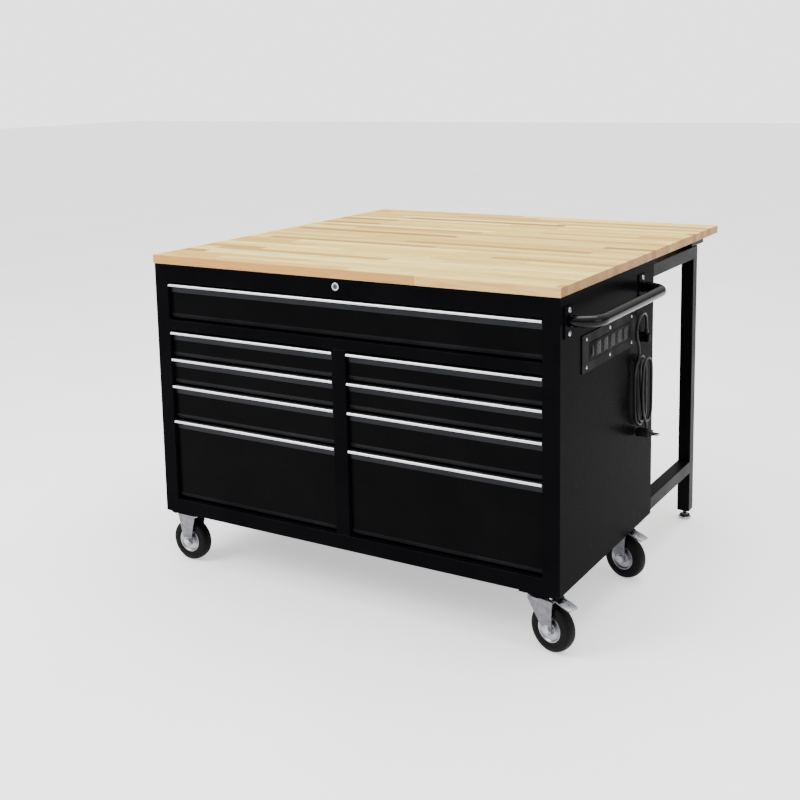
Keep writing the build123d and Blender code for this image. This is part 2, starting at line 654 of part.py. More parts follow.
def power_strip_body():
    """The strip itself, sunk through the side panel, with a slightly raised face."""
    y, z = PLATE_FRONT + PLATE_LENGTH / 2, (PLATE_TOP + PLATE_BOTTOM) / 2
    return block(SKIN - STRIP_DEPTH, SKIN + PLATE_THICKNESS + 1, y - STRIP_LENGTH / 2, y + STRIP_LENGTH / 2,
                 z - STRIP_HEIGHT / 2, z + STRIP_HEIGHT / 2)


def cord_inlet():
    """A round boss on the side panel with an upright sleeve for the cord."""
    boss = rod_x(INLET_RADIUS, SKIN, SKIN + INLET_DEPTH, INLET_Y, INLET_Z)
    return boss + rod_z(SLEEVE_RADIUS, INLET_X, INLET_Y, INLET_Z, SLEEVE_TOP)


def cord_bends():
    """The radius at each inner point of the cord's route."""
    points = [Vector(*point) for point in CORD_ROUTE]
    radii = []
    for before, here, after in zip(points, points[1:], points[2:]):
        first, second = here - before, after - here
        half_turn = first.get_angle(second) / 2
        shorter = min(first.length, second.length)
        radii.append(0.45 * shorter / math.tan(math.radians(half_turn)))
    return radii


def cord_tube():
    """The free stretch of the cord, from the sleeve to the hank."""
    radii = cord_bends()
    path = FilletPolyline(CORD_ROUTE, radius=radii)
    section = Plane(origin=path @ 0, z_dir=path % 0) * Circle(CORD_DIAMETER / 2)
    cord = sweep(section, path=path)
    print("cord bend radii:", [round(radius, 1) for radius in radii])
    print("cord length:", round(path.length, 1), "volume ratio:",
          round(cord.volume / (math.pi * CORD_DIAMETER ** 2 / 4 * path.length), 4))
    return cord


def cord_hank():
    """The outer shape of the folded cord."""
    body = block(HANK_IN, HANK_IN + HANK_THICKNESS, HANK_FRONT, HANK_FRONT + HANK_WIDTH,
                 HANK_BOTTOM, HANK_TOP)
    return fillet(body.edges().filter_by(Axis.X), 30)


def mains_plug():
    """The plug under the hank, with its prongs pointing away from the case."""
    length, width, height = PLUG_BODY
    y0 = HANK_FRONT + 26
    x1 = HANK_IN + length
    body = block(HANK_IN, x1, y0, y0 + width, HANK_BOTTOM - height, HANK_BOTTOM)
    middle = y0 + width / 2
    for side in (-1, 1):
        y = middle + side * PRONG_SPACING / 2
        body += block(x1, x1 + PRONG_LENGTH, y - 0.8, y + 0.8,
                      HANK_BOTTOM - height / 2 - 3, HANK_BOTTOM - height / 2 + 3)
    return body


def build():
    """Make every sub-part and write it."""
    os.makedirs("parts", exist_ok=True)
    save("side_panel_left", side_panel(-1))
    save("side_panel_right", side_panel(1))
    save("front_frame", *front_frame())
    save("drawer_walls", *drawer_walls())
    save("back_panel", back_panel())
    save("bottom_panel", block(-SKIN + SHEET, SKIN - SHEET, FRAME_BACK, CASE_BACK, CASE_BOTTOM,
                               CASE_BOTTOM + SHEET))
    save("drawer_shelf", block(-BAY + SHEET, BAY - SHEET, WALL_FRONT, CASE_BACK - SHEET,
                               SHELF_TOP - SHEET, SHELF_TOP))
    save("main_top", main_top())
    save("leaf", leaf())
    save("leaf_battens", leaf_battens())
    save("hinge_halves_fixed", *hinge_blocks(TOP_DEPTH - HINGE_DEPTH, TOP_DEPTH))
    save("hinge_halves_leaf", *hinge_blocks(LEAF_FRONT, LEAF_FRONT + HINGE_DEPTH))
    save("drawer_slides", *fixed_slides())
    for name, x0, x1, z0, z1 in drawer_bays():
        save(name, *drawer_box(x0, x1, z0, z1))
        save(f"{name}_pull", drawer_pull(x0, x1, z1))
    save("lock_housing", lock_housing())
    save("lock_plug", lock_plug())
    save("rail_guides", *rail_guides())
    save("extension_frame", extension_frame())
    save("foot_left", levelling_foot(-1))
    save("foot_right", levelling_foot(1))
    save("caster_plates", *caster_plates())
    save("rigid_forks", *[Pos(x, y, 0) * rigid_fork() for x, y in caster_places() if x < 0])
    for end, y in (("front", FRONT_CASTER_Y), ("rear", REAR_CASTER_Y)):
        save(f"swivel_fork_{end}", at_caster(CASTER_X, y, STEER_AT_REST) * swivel_fork())
        save(f"brake_pedal_{end}", at_caster(CASTER_X, y, STEER_AT_REST) * brake_pedal())
        for side, x in (("left", -CASTER_X), ("right", CASTER_X)):
            save(f"tyre_{end}_{side}", at_wheel(x, y) * tyre())
            save(f"hub_{end}_{side}", at_wheel(x, y) * hub())
    save("side_handle", handle_tube())
    save("handle_brackets", *handle_brackets())
    save("fasteners", *fasteners())
    save("power_strip_plate", power_strip_plate())
    save("power_strip", power_strip_body())
    save("cord_inlet", cord_inlet())
    save("cord_tube", cord_tube())
    save("cord_hank", cord_hank())
    save("mains_plug", mains_plug())
    print("travel of a drawer, travel of the rear frame:", DRAWER_TRAVEL, FRAME_TRAVEL)


if __name__ == "__main__":
    build()
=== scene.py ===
"""Looks for the mobile workbench: camera, cord, detailed pieces, materials, floor and light."""
import json
import math

import bmesh
import bpy
from mathutils import Matrix, Vector


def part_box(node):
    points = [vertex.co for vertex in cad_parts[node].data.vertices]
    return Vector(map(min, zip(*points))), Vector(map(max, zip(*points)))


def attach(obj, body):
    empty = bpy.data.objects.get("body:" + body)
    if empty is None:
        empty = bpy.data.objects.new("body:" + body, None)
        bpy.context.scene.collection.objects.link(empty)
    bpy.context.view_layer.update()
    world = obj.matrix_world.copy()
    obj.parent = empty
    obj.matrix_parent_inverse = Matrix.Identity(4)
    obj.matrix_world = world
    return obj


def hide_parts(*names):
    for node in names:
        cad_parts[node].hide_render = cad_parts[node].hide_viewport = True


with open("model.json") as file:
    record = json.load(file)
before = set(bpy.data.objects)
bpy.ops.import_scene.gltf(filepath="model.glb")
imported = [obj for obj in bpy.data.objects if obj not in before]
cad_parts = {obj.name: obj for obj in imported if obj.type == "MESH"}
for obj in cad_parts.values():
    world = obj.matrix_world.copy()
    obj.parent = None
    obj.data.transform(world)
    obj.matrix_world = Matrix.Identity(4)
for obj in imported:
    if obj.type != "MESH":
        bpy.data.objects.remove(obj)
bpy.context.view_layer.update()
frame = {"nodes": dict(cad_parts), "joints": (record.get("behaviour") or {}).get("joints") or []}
NODES = frame["nodes"]
JOINTS = {j["name"]: j for j in frame["joints"]}
MM = 0.001
DRAWING_ORIGIN = (42.5, 650)


def placed(x, y, z):
    """A point given in the drawing's millimetres, in the shared frame's metres."""
    return Vector((x - DRAWING_ORIGIN[0], y - DRAWING_ORIGIN[1], z)) * MM


# ---------------------------------------------------------------- camera
CAMERA_PLACE = (1.7506, -3.2520, 1.4680)
CAMERA_YAW, CAMERA_PITCH, CAMERA_ROLL = 31.38, 8.83, -1.11
CAMERA_LENS, CAMERA_SENSOR, CAMERA_SHIFT = 53.21, 36, -0.175


def make_camera():
    """The camera at the photograph's viewing angle, with part of its downward look taken by the shift."""
    yaw, pitch, roll = (math.radians(angle) for angle in (CAMERA_YAW, CAMERA_PITCH, CAMERA_ROLL))
    forward = Vector((-math.sin(yaw) * math.cos(pitch), math.cos(yaw) * math.cos(pitch), -math.sin(pitch)))
    right = Vector((math.cos(yaw), math.sin(yaw), 0))
    up = right.cross(forward)
    right, up = (right * math.cos(roll) + up * math.sin(roll),
                 up * math.cos(roll) - right * math.sin(roll))
    cam = bpy.data.objects.new("camera", bpy.data.cameras.new("camera"))
    bpy.context.scene.collection.objects.link(cam)
    turn = Matrix((right, up, -forward)).transposed().to_4x4()
    cam.matrix_world = Matrix.Translation(CAMERA_PLACE) @ turn
    cam.data.lens, cam.data.sensor_width, cam.data.shift_y = CAMERA_LENS, CAMERA_SENSOR, CAMERA_SHIFT
    cam.data.clip_start, cam.data.clip_end = 0.05, 80
    bpy.context.scene.camera = cam


make_camera()


# ---------------------------------------------------------------- materials
def colour(*levels):
    """Display levels of 0 to 255 as a linear colour."""
    linear = [(c / 255 / 12.92) if c <= 10 else ((c / 255 + 0.055) / 1.055) ** 2.4 for c in levels]
    return (*linear, 1)


class Graph:
    """A small helper that adds nodes to one material."""

    def __init__(self, name):
        self.material = bpy.data.materials.new(name)
        self.material.use_nodes = True
        self.nodes = self.material.node_tree.nodes
        self.links = self.material.node_tree.links
        self.shader = self.nodes["Principled BSDF"]
        self.place = self.add("ShaderNodeTexCoord").outputs["Object"]

    def add(self, kind, **values):
        node = self.nodes.new(kind)
        for key, value in values.items():
            setattr(node, key, value)
        return node

    def put(self, node, name, value):
        socket = node.inputs[name]
        if isinstance(value, bpy.types.NodeSocket):
            self.links.new(value, socket)
        else:
            socket.default_value = value

    def scaled(self, scale):
        node = self.add("ShaderNodeMapping")
        self.put(node, "Vector", self.place)
        self.put(node, "Scale", scale)
        return node.outputs["Vector"]

    def noise(self, vector, scale, detail=3.0, roughness=0.5):
        node = self.add("ShaderNodeTexNoise")
        settings = {"Vector": vector, "Scale": scale, "Detail": detail, "Roughness": roughness}
        for name, value in settings.items():
            self.put(node, name, value)
        return node.outputs["Fac"]

    def math(self, operation, a, b=None, c=None):
        node = self.add("ShaderNodeMath", operation=operation)
        for index, value in enumerate((a, b, c)):
            if value is not None:
                self.put(node, index, value)
        return node.outputs[0]

    def ramp(self, value, stops):
        node = self.add("ShaderNodeValToRGB")
        self.put(node, "Fac", value)
        ramp = node.color_ramp
        while len(ramp.elements) < len(stops):
            ramp.elements.new(0.5)
        for element, (place, tint) in zip(ramp.elements, stops):
            element.position, element.color = place, tint
        return node.outputs["Color"]

    def spread(self, value, low, high, start=0.0, end=1.0):
        node = self.add("ShaderNodeMapRange")
        settings = {"Value": value, "From Min": start, "From Max": end, "To Min": low, "To Max": high}
        for name, number in settings.items():
            self.put(node, name, number)
        return node.outputs["Result"]

    def mix(self, share, a, b):
        node = self.add("ShaderNodeMix", data_type="RGBA")
        for index, value in ((0, share), (6, a), (7, b)):
            self.put(node, index, value)
        return node.outputs[2]

    def bump(self, height, strength, distance):
        node = self.add("ShaderNodeBump")
        self.put(node, "Height", height)
        self.put(node, "Strength", strength)
        self.put(node, "Distance", distance)
        return node.outputs["Normal"]

    def done(self, base, rough, normal, **fixed):
        self.put(self.shader, "Base Color", base)
        self.put(self.shader, "Roughness", rough)
        self.put(self.shader, "Normal", normal)
        for name, value in fixed.items():
            self.put(self.shader, name.replace("_", " "), value)
        return self.material


def painted(name, dark, light, rough, specular, peel=900, depth=0.00004, slope_highlight=None):
    """Sprayed or powder-coated steel: orange peel, cloudy gloss, dust, and paler colours on sloping faces as
    a painted highlight.
    """
    g = Graph(name)
    fine = g.noise(g.place, peel, 2.0)
    cloud = g.noise(g.place, 7.0, 4.0)
    dust = g.noise(g.place, 2400, 1.0)
    mottle = g.math("MULTIPLY_ADD", dust, 0.3, g.math("MULTIPLY", cloud, 0.7))
    base = g.ramp(mottle, [(0.35, dark), (0.7, light)])
    # painted highlight: faces between upright and level get the paler colours, standing in for the floor's
    # reflection in the bevels
    if slope_highlight:
        facing = g.add("ShaderNodeSeparateXYZ")
        g.put(facing, 0, g.add("ShaderNodeTexCoord").outputs["Normal"])
        tilt = g.math("ABSOLUTE", facing.outputs[2])
        upright, level = g.spread(tilt, 0.0, 1.0, 0.2, 0.3), g.spread(tilt, 1.0, 0.0, 0.9, 0.96)
        base = g.mix(g.math("MULTIPLY", upright, level), base,
                     g.ramp(mottle, [(0.35, slope_highlight[0]), (0.7, slope_highlight[1])]))
    return g.done(base, g.spread(cloud, *rough, 0.3, 0.7), g.bump(fine, 0.3, depth),
                  Specular_IOR_Level=specular)


def brushed(name, dark, light, along, rough=(0.24, 0.4)):
    """Metal with fine draw lines along one axis."""
    g = Graph(name)
    stretch = [1.0, 1.0, 1.0]
    stretch[along] = 0.012
    lines = g.noise(g.scaled(stretch), 1700, 3.0, 0.6)
    smear = g.noise(g.scaled((1.0, 1.0, 1.0)), 9, 3.0)
    both = g.math("MULTIPLY_ADD", smear, 0.35, g.math("MULTIPLY", lines, 0.65))
    return g.done(g.ramp(both, [(0.3, dark), (0.7, light)]), g.spread(both, *rough, 0.3, 0.7),
                  g.bump(lines, 0.6, 0.00003), Metallic=1.0)


def plated(name, dark, light, rough=(0.24, 0.42), spangle=260):
    """Zinc plating: small cloudy crystals and fine scratches."""
    g = Graph(name)
    cells = g.add("ShaderNodeTexVoronoi", feature="F1")
    g.put(cells, "Vector", g.place)
    g.put(cells, "Scale", spangle)
    cloud = g.noise(g.place, 40, 4.0)
    scratch = g.noise(g.scaled((1, 0.06, 1)), 2500, 2.0)
    both = g.math("MULTIPLY_ADD", cells.outputs["Color"], 0.35, g.math("MULTIPLY", cloud, 0.65))
    return g.done(g.ramp(both, [(0.25, dark), (0.75, light)]), g.spread(both, *rough, 0.25, 0.75),
                  g.bump(scratch, 0.35, 0.00003), Metallic=1.0)


def moulded(name, dark, light, rough=(0.45, 0.6), grain=1500, depth=0.00008, specular=0.45):
    """Moulded plastic or rubber: spark-eroded grain and slight dullness in patches."""
    g = Graph(name)
    fine = g.noise(g.place, grain, 2.0, 0.6)
    patch = g.noise(g.place, 25, 3.0)
    tint = g.math("MULTIPLY_ADD", fine, 0.5, g.math("MULTIPLY", patch, 0.5))
    return g.done(g.ramp(tint, [(0.35, dark), (0.65, light)]), g.spread(patch, *rough, 0.3, 0.7),
                  g.bump(fine, 0.6, depth), Specular_IOR_Level=specular)


STAVE_WIDTH, STAVE_LENGTH = 0.038, 0.62
STAVE_TINTS = [(0.0, colour(142, 104, 36)), (0.16, colour(184, 148, 62)), (0.42, colour(204, 173, 82)),
               (0.68, colour(221, 194, 100)), (0.88, colour(238, 216, 138)), (0.93, colour(192, 155, 66)),
               (1.0, colour(150, 110, 38))]


def staves(g):
    """Rows across Y cut into lengths along X: each stave's own random colour, and how near its joints are."""
    xyz = g.add("ShaderNodeSeparateXYZ")
    g.put(xyz, 0, g.place)
    x, y = xyz.outputs[0], xyz.outputs[1]
    row = g.math("FLOOR", g.math("DIVIDE", y, STAVE_WIDTH))
    first = g.add("ShaderNodeTexWhiteNoise", noise_dimensions="1D")
    g.put(first, "W", row)
    along = g.math("ADD", g.math("DIVIDE", x, STAVE_LENGTH), g.math("MULTIPLY", first.outputs["Value"], 7.3))
    cell = g.add("ShaderNodeCombineXYZ")
    g.put(cell, 0, row)
    g.put(cell, 1, g.math("FLOOR", along))
    own = g.add("ShaderNodeTexWhiteNoise", noise_dimensions="2D")
    g.put(own, "Vector", cell.outputs[0])
    side = g.spread(g.math("PINGPONG", g.math("DIVIDE", y, STAVE_WIDTH), 0.5), 0.55, 0.0, 0.0, 0.016)
    butt = g.spread(g.math("PINGPONG", along, 0.5), 0.5, 0.0, 0.0, 0.0012)
    return own, g.math("MAXIMUM", side, butt)


def long_grain(g, own):
    """Streaks along X that start anew on every stave."""
    start = g.add("ShaderNodeVectorMath", operation="SCALE")
    g.put(start, 0, own.outputs["Color"])
    g.put(start, "Scale", 60.0)
    moved = g.add("ShaderNodeVectorMath", operation="ADD")
    g.put(moved, 0, g.scaled((5.0, 95.0, 95.0)))
    g.put(moved, 1, start.outputs[0])
    return g.noise(moved.outputs[0], 1.6, 5.0, 0.62)


def butcher_block():
    """Glued staves along X, each with its own tint and grain; end grain on the faces across X."""
    g = Graph("butcher_block")
    own, joint = staves(g)
    tint = g.ramp(own.outputs["Value"], STAVE_TINTS)
    grain = long_grain(g, own)
    pores = g.noise(g.scaled((160, 2600, 2600)), 1.0, 2.0)
    grained = g.mix(g.spread(grain, 0.0, 0.7, 0.44, 0.72), tint, colour(148, 104, 36))
    grained = g.mix(g.spread(pores, 0.0, 0.35, 0.56, 0.74), grained, colour(118, 72, 30))
    grained = g.mix(joint, grained, colour(104, 62, 28))
    facing = g.add("ShaderNodeSeparateXYZ")
    g.put(facing, 0, g.add("ShaderNodeTexCoord").outputs["Normal"])
    ends, front = (g.math("GREATER_THAN", g.math("ABSOLUTE", facing.outputs[k]), 0.7) for k in (0, 1))
    rings = g.noise(g.scaled((40, 330, 520)), 1.0, 3.0)
    end_tint = g.mix(g.spread(rings, 0.1, 0.9, 0.35, 0.7), g.mix(0.6, tint, colour(150, 92, 48)),
                     colour(106, 62, 32))
    base = g.mix(front, grained, g.mix(0.5, grained, colour(196, 128, 72)))
    base = g.mix(ends, base, end_tint)
    height = g.math("SUBTRACT", grain, g.math("MULTIPLY", pores, 0.6))
    return g.done(base, g.spread(grain, 0.42, 0.56, 0.3, 0.7), g.bump(height, 0.35, 0.0002),
                  Specular_IOR_Level=0.35)


# paler colours for sloping faces: a painted highlight standing in for the floor's reflection in the bevels
SLOPE_HIGHLIGHT = (colour(22, 22, 25), colour(34, 34, 37))
ALONG_X, ALONG_Y, ALONG_Z = 0, 1, 2
MATERIALS = {
    "front": painted("gloss_black", colour(4, 4, 5), colour(7, 7, 8), (0.2, 0.3), 0.015, slope_highlight=SLOPE_HIGHLIGHT),
    "case": painted("case_black", colour(6, 6, 8), colour(10, 10, 12), (0.26, 0.31), 0.004, slope_highlight=SLOPE_HIGHLIGHT),
    "frame": painted("frame_black", colour(5, 5, 6), colour(9, 9, 10), (0.3, 0.42), 0.03, 1300, 0.00006),
    "wood": butcher_block(),
    "pull": brushed("pull_aluminium", colour(182, 184, 188), colour(226, 227, 230), ALONG_X),
    # the pull's own aluminium darkened: a painted shade for the plate under the shelf
    "pull_painted_shade": brushed("pull_painted_shade", colour(22, 23, 25), colour(38, 39, 42), ALONG_X, (0.3, 0.42)),
    "steel": brushed("slide_steel", colour(150, 152, 155), colour(205, 206, 208), ALONG_Y),
    "zinc": plated("zinc", colour(150, 151, 156), colour(186, 187, 191)),
    "dark_zinc": plated("dark_zinc", colour(88, 88, 92), colour(118, 118, 123), (0.24, 0.34), 110),
    "hub": plated("hub_steel", colour(132, 133, 139), colour(162, 163, 168), (0.3, 0.4), 130),
    "chrome": brushed("lock_chrome", colour(172, 173, 178), colour(206, 207, 211), ALONG_Z, (0.1, 0.2)),
    "dark_chrome": brushed("plug_chrome", colour(58, 58, 62), colour(92, 92, 96), ALONG_Z, (0.14, 0.24)),
    "nylon": moulded("nylon", colour(24, 24, 25), colour(38, 38, 39)),
    "handle": painted("handle_coat", colour(2, 2, 3), colour(4, 4, 5), (0.14, 0.2), 0.14, 1500, 0.00002),
    "plastic": moulded("strip_plastic", colour(2, 2, 3), colour(4, 4, 5), (0.38, 0.5), specular=0.02),
    "outlet": moulded("outlet_plastic", colour(3, 3, 4), colour(6, 6, 7), (0.3, 0.4), specular=0.05),
    "rubber": moulded("tyre_rubber", colour(2, 2, 2), colour(6, 6, 6), (0.5, 0.66), 1100, 0.00012, 0.1),
    "cord": moulded("cord_rubber", colour(2, 2, 2), colour(4, 4, 5), (0.3, 0.44), 1300, 0.00005, 0.2),
    "prong": brushed("prong_metal", colour(120, 118, 112), colour(160, 158, 150), ALONG_X, (0.2, 0.3)),
    "foot": moulded("foot_plastic", colour(6, 6, 6), colour(13, 13, 13), specular=0.25),
}


# ---------------------------------------------------------------- making pieces
def piece(name, data, body, finish, replaced=()):
    """Link a mesh or curve as a piece with its material, riding on a body."""
    obj = bpy.data.objects.new(name, data)
    bpy.context.scene.collection.objects.link(obj)
    data.materials.append(MATERIALS[finish])
    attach(obj, body)
    if replaced:
        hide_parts(*replaced)
    return obj


def mesh_of(name, bm, angle=35, smooth=True):
    """A mesh from the bmesh, smooth up to the given angle unless told otherwise."""
    mesh = bpy.data.meshes.new(name)
    bm.normal_update()
    bm.to_mesh(mesh)
    bm.free()
    if smooth:
        mesh.shade_smooth()
        mesh.set_sharp_from_angle(angle=math.radians(angle))
    return mesh


def turned(bm, profile, centre, axis, steps=64):
    """Turn (radius, height) points about an axis through centre. Ends at radius 0 close by themselves."""
    axis = Vector(axis).normalized()
    spin = axis.to_track_quat("Z", "Y").to_matrix()
    rings = []
    for radius, height in profile:
        count = steps if radius > 0 else 1
        places = [Vector((radius * math.cos(a), radius * math.sin(a), height))
                  for a in (2 * math.pi * k / steps for k in range(count))]
        rings.append([bm.verts.new(Vector(centre) + spin @ place) for place in places])
    for lower, upper in zip(rings, rings[1:]):
        if len(lower) == len(upper) == 1:
            continue
        for k in range(steps):
            n = (k + 1) % steps
            corners = [ring[j % len(ring)] for ring, j in ((lower, k), (lower, n), (upper, n), (upper, k))]
            bm.faces.new(list(dict.fromkeys(corners)))


def disc(bm, radius, low, high, centre, axis, steps):
    """A flat round disc between two heights along an axis."""
    turned(bm, [(0, low), (radius, low), (radius, high), (0, high)], centre, axis, steps)


def rounded_box(bm, low, high, radius, segments=3):
    """A box with every edge rounded."""
    made = bmesh.ops.create_cube(bm, size=1)["verts"]
    low, high = Vector(low), Vector(high)
    for vert in made:
        vert.co = (low + high) / 2 + Vector([vert.co[k] * (high - low)[k] for k in range(3)])
    edges = {edge for vert in made for edge in vert.link_edges}
    bmesh.ops.bevel(bm, geom=list(edges), offset=radius, segments=segments, affect="EDGES", profile=0.5)


def cut(mesh, cutter):
    """Take the cutter mesh out of the mesh, and return the result as a new mesh."""
    holders = [bpy.data.objects.new(f"cut_{k}", data) for k, data in enumerate((mesh, cutter))]
    for holder in holders:
        bpy.context.scene.collection.objects.link(holder)
    modifier = holders[0].modifiers.new("cut", "BOOLEAN")
    modifier.object, modifier.operation, modifier.solver = holders[1], "DIFFERENCE", "EXACT"
    bpy.context.view_layer.update()
    graph = bpy.context.evaluated_depsgraph_get()
    made = bpy.data.meshes.new_from_object(holders[0].evaluated_get(graph))
    for holder in holders:
        bpy.data.objects.remove(holder)
    return made


def soften(node, width, finish):
    """A CAD node keeps its shape, with its sharp edges eased, and gets a finish."""
    obj = NODES[node]
    weld = obj.modifiers.new("weld", "WELD")
    weld.merge_threshold = 0.00002
    bevel = obj.modifiers.new("edges", "BEVEL")
    bevel.width, bevel.segments = width, 2
    bevel.limit_method, bevel.angle_limit = "ANGLE", math.radians(40)
    bevel.use_clamp_overlap = bevel.harden_normals = True
    dress(node, finish)


def dress(node, finish):
    """A CAD node as it is, with a finish."""
    materials = NODES[node].data.materials
    materials.clear()
    materials.append(MATERIALS[finish])


# ---------------------------------------------------------------- the cord
# the route's own points, from the sleeve up, over the loop and down into the hank
ROUTE = [(668, 590, 744), (668, 590, 765), (670, 577, 785), (672, 555, 795), (672, 530, 792),
         (671, 510, 776), (670, 502, 751), (671, 506, 726), (673, 516, 706), (673, 516, 684)]
CORD_DIAMETER = 0.008


def hank_points():
    """Two turns winding inwards against the panel, then one winding outwards over them, and the tail."""
    middle_y, middle_z, straight = 546.0, 573.0, 65.0
    samples = [("down", straight - 2 * straight * (k + 0.5) / 4) for k in range(4)]
    samples += [("low", 195 + 30 * k) for k in range(6)]
    samples += [("up", -straight + 2 * straight * (k + 0.5) / 4) for k in range(4)]
    samples += [("high", 15 + 30 * k) for k in range(6)]
    points = [(673, 511, 668), (669, 505, 652)]
    for turn in range(3):
        for k, (stretch, value) in enumerate(samples):
            t = turn + k / len(samples)
            if t < 2:
                half, x = 41.3 - 8.8 * t, 665.0 + 5.2 * t
            else:
                half, x = 23.7 + 13.5 * (t - 2), 675.4 + 13.0 * min(1, (t - 2) * 4)
            x += 0.9 * math.sin(5.3 * t + 1)
            if stretch in ("down", "up"):
                sign = -1 if stretch == "down" else 1
                belly = 0.09 * (half - 23.0) * (value / straight) ** 2
                points.append((x, middle_y + sign * (half - belly), middle_z + value))
            else:
                sign = 1 if stretch == "high" else -1
                angle, width = math.radians(value), half - 0.12 * (half - 23.0)
                points.append((x, middle_y + width * math.cos(angle), middle_z + sign * straight
                               + (half - 2.0 * turn) * math.sin(angle)))
    points += [(688, 509, 628), (688, 507, 588), (688, 508, 548), (688, 513, 518), (688, 524, 496),
               (688, 536, 482), (688, 540, 470), (688, 540, 459)]
    return points


def make_cord():
    """One round curve through the route and the hank, closed at both ends."""
    points = [placed(*p) for p in ROUTE + hank_points()]
    curve = bpy.data.curves.new("power_cord", "CURVE")
    curve.dimensions = "3D"
    curve.bevel_depth, curve.bevel_resolution, curve.resolution_u = CORD_DIAMETER / 2, 6, 8
    curve.use_fill_caps = True
    spline = curve.splines.new("NURBS")
    spline.points.add(len(points) - 1)
    for knot, point in zip(spline.points, points):
        knot.co = (*point, 1)
    spline.order_u = 3
    spline.use_endpoint_u = True
    return piece("power_cord", curve, "case", "cord", ("cord_tube", "cord_hank"))


def make_plug():
    """A moulded angled plug with grip ribs and two flat prongs."""
    low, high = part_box("mains_plug")
    body_end = low.x + 0.046
    bm = bmesh.new()
    rounded_box(bm, low, (body_end - 0.004, high.y, high.z), 0.0045, 4)
    rounded_box(bm, low + Vector((0.030, 0.002, 0.002)), high - Vector((0.020, 0.002, 0.002)), 0.002, 3)
    for k in range(4):
        x = low.x + 0.010 + 0.0045 * k
        rounded_box(bm, (x, low.y, low.z), (x + 0.0022, high.y, high.z), 0.0009, 2)
    body = piece("plug_body", mesh_of("plug_body", bm), "case", "cord")
    bm = bmesh.new()
    middle = (low + high) / 2
    for side in (-1, 1):
        y = middle.y + side * 0.0065
        rounded_box(bm, (body_end - 0.003, y - 0.0008, middle.z - 0.003),
                    (high.x, y + 0.0008, middle.z + 0.003), 0.0006, 2)
    piece("plug_prongs", mesh_of("plug_prongs", bm), "case", "prong")
    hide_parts("mains_plug")
    return body


def make_inlet():
    """The boss on the panel with its flange, and the ribbed sleeve that eases the cord's bend."""
    low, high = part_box("cord_inlet")
    top = placed(*ROUTE[0])
    middle_z = 0.716
    depth, length = high.x - low.x, top.z - middle_z
    boss = [(0, 0), (0.0150, 0), (0.0150, 0.003), (0.0138, 0.0042), (0.0138, 0.015), (0.0126, depth - 0.0015),
            (0.0112, depth), (0, depth)]
    bm = bmesh.new()
    turned(bm, boss, (low.x, top.y, middle_z), (1, 0, 0))
    piece("inlet_boss", mesh_of("inlet_boss", bm), "case", "plastic", ("cord_inlet",))
    sleeve = [(0, 0), (0.0075, 0)]
    for k in range(6):
        start = 0.008 + (length - 0.010) * k / 6
        radius = 0.0074 - 0.0022 * k / 6
        groove = radius - 0.0009
        sleeve += [(radius, start), (radius, start + 0.0019), (groove, start + 0.0023),
                   (groove, start + 0.0029)]
    sleeve += [(0.0050, length), (0, length)]
    bm = bmesh.new()
    turned(bm, sleeve, (top.x, top.y, middle_z), (0, 0, 1), 40)
    piece("cord_sleeve", mesh_of("cord_sleeve", bm), "case", "cord")


cord = make_cord()
plug = make_plug()
make_inlet()


# ---------------------------------------------------------------- carried-over CAD nodes
DRAWERS = [node for node in NODES if "_drawer" in node and not node.endswith("_pull")]
EASED = {"front": (0.0008, DRAWERS),
         "case": (0.0007, ["side_panel_left", "side_panel_right", "front_frame", "back_panel", "bottom_panel",
                           "drawer_walls", "drawer_shelf", "caster_plates", "handle_brackets"]),
         "frame": (0.0022, ["extension_frame", "leaf_battens"]),
         "wood": (0.0014, ["main_top", "leaf"]),
         "steel": (0.0006, ["drawer_slides"]),
         "zinc": (0.0005, ["hinge_halves_fixed", "hinge_halves_leaf"]),
         "dark_zinc": (0.0009, ["swivel_fork_front", "swivel_fork_rear", "rigid_forks", "brake_pedal_front",
                                "brake_pedal_rear"]),
         "plastic": (0.0006, ["power_strip_plate"]),
         "chrome": (0.0004, ["lock_housing"]),
         "dark_chrome": (0.0003, ["lock_plug"]),
         "nylon": (0.0005, ["rail_guides"])}
for finish, (width, names) in EASED.items():
    for name in names:
        soften(name, width, finish)
dress("side_handle", "handle")
for name in ("foot_left", "foot_right"):
    dress(name, "foot")


# ---------------------------------------------------------------- drawer pulls
# millimetres back from the lip; the plate's faces beyond it get the painted shade
SHADED_FROM = 10.5


def pull_outline():
    """(y, z) points in millimetres from the front top corner: a rolled lip, a shelf, and the plate behind."""
    outer = [math.pi / 2 * k / 7 for k in range(1, 8)]
    inner = [math.pi / 2 * k / 5 for k in range(6)]
    points = [(13.0, 0.0), (4.5, 0.0)]
    points += [(4.5 - 4.5 * math.sin(a), -4.5 + 4.5 * math.cos(a)) for a in outer]
    points += [(0.0, -6.0), (0.3, -6.8), (1.0, -7.2), (1.7, -6.8), (2.0, -6.1)]
    points += [(4.6 - 2.6 * math.cos(a), -4.6 + 2.6 * math.sin(a)) for a in inner]
    points += [(10.2, -2.0), (10.9, -2.5), (11.1, -3.4), (11.1, -23.6), (11.6, -25.4), (12.4, -26.0),
               (13.0, -26.0)]
    return points


